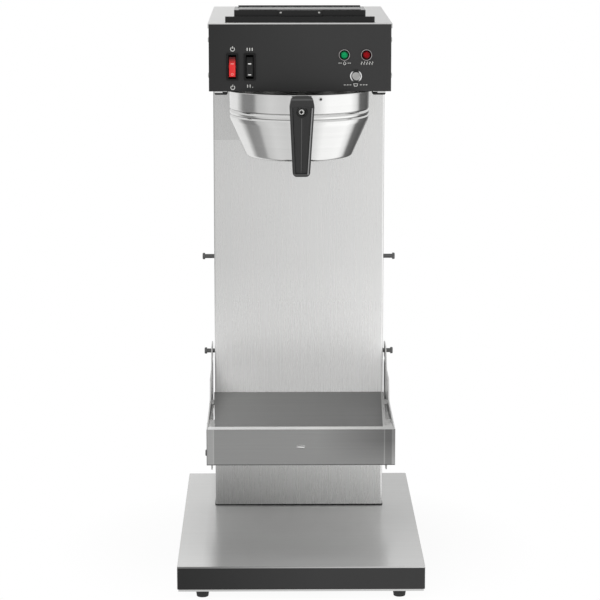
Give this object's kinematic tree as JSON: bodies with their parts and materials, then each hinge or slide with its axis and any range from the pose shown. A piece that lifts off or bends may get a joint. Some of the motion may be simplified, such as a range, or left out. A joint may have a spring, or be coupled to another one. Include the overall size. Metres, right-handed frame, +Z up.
{
  "type": "airpot coffee brewer",
  "caption": "Tall pour-over airpot coffee brewer in stainless steel with a black control panel, a slide-in brew funnel, a hang-on shelf and a hinged fill lid",
  "frame": {"origin": "on the floor plane under the middle of the bounding box, feet standing on z = 0", "axes": "+Z up, +X to the right of someone facing the control panel, +Y towards the rear cover"},
  "size_m": [0.3124, 0.486, 0.731],
  "materials": {
    "steel_body": "brushed, fine vertical grain on the column and fine grain across the base and top",
    "steel_inner": "plain rolled sheet, satin",
    "steel_polished": "polished stainless steel",
    "zinc_fasteners": "bright zinc plated steel",
    "black_paint": "dark grey to black powder coat, very fine texture",
    "black_plastic": "moulded black plastic, satin to gloss",
    "red_plastic": "moulded red plastic, gloss",
    "rubber_black": "black rubber",
    "silicone": "milky silicone",
    "button_metal": "fine turned face",
    "spring_steel": "bright spring wire",
    "green_lens": "clear green lens",
    "red_lens": "clear red lens",
    "white_plastic": "white nylon",
    "board_green": "green board with black parts",
    "brass_fitting": "machined brass",
    "copper_tube": "drawn copper tube"
  },
  "bodies": {
    "brewer_body": {"base_pan": "steel_body", "column_shell": "steel_body", "top_cover": "steel_body", "rear_cover": "steel_body", "base_floor": "steel_inner", "base_stiffeners": "steel_inner", "head_frame": "steel_inner", "spray_cup": "steel_inner", "tank_brackets": "steel_inner", "water_tank": "steel_inner", "tank_lid": "steel_inner", "spray_head": "steel_polished", "lamp_bezels": "steel_polished", "shelf_pins": "steel_polished", "pin_nuts": "steel_polished", "spray_pipe": "steel_polished", "brew_button_body": "steel_polished", "hinge_pin": "steel_polished", "heating_element": "steel_polished", "level_probe": "steel_polished", "frame_screws": "zinc_fasteners", "frame_nuts": "zinc_fasteners", "rear_screws": "zinc_fasteners", "panel_screws": "zinc_fasteners", "tank_screws": "zinc_fasteners", "panel_nuts": "zinc_fasteners", "front_panel": "black_paint", "base_fascia": "black_paint", "funnel_rails": "black_plastic", "power_switch_body": "black_plastic", "volume_switch_body": "black_plastic", "spill_guard": "black_plastic", "fill_basin": "black_plastic", "cord_gland": "black_plastic", "base_feet": "rubber_black", "tank_gasket": "silicone", "fill_hose": "silicone", "brew_button_spring": "spring_steel", "filling_lamp": "green_lens", "heating_lamp": "red_lens", "terminal_block": "white_plastic", "thermostat": "white_plastic", "inlet_valve": "white_plastic", "control_board": "board_green", "water_inlet": "brass_fitting", "valve_tube": "copper_tube", "basin_strainer": "steel_polished"},
    "funnel": {"brew_funnel": "steel_polished", "filter_rest": "steel_polished", "funnel_handle": "black_plastic", "handle_screw": "zinc_fasteners"},
    "shelf": {"shelf_bracket": "steel_body", "shelf_tray": "steel_body", "shelf_rivets": "steel_inner"},
    "lid": {"fill_lid": "black_plastic", "lid_grip": "black_plastic", "grip_screws": "zinc_fasteners"},
    "power_lever": {"power_rocker": "red_plastic"},
    "volume_lever": {"volume_rocker": "black_plastic"},
    "button": {"brew_button_cap": "button_metal"}
  },
  "joints": [
    {"name": "funnel_slide", "type": "slide", "parent": "brewer_body", "child": "funnel", "axis": [0, -1, 0], "range_m": [0, 0.08]},
    {"name": "shelf_lift", "type": "slide", "parent": "brewer_body", "child": "shelf", "axis": [0, 0, 1], "range_m": [0, 0.012]},
    {"name": "lid_hinge", "type": "hinge", "parent": "brewer_body", "child": "lid", "pos_m": [0, -0.0118, 0.7228], "axis": [-1, 0, 0], "range_deg": [0, 100]},
    {"name": "power_rocker_hinge", "type": "hinge", "parent": "brewer_body", "child": "power_lever", "pos_m": [-0.0858, -0.1035, 0.6593], "axis": [1, 0, 0], "range_deg": [0, 20]},
    {"name": "volume_rocker_hinge", "type": "hinge", "parent": "brewer_body", "child": "volume_lever", "pos_m": [-0.0638, -0.1035, 0.6593], "axis": [1, 0, 0], "range_deg": [0, 20]},
    {"name": "brew_button_press", "type": "slide", "parent": "brewer_body", "child": "button", "axis": [0, 1, 0], "range_m": [0, 0.0025], "stiffness_N_per_m": 800}
  ]
}
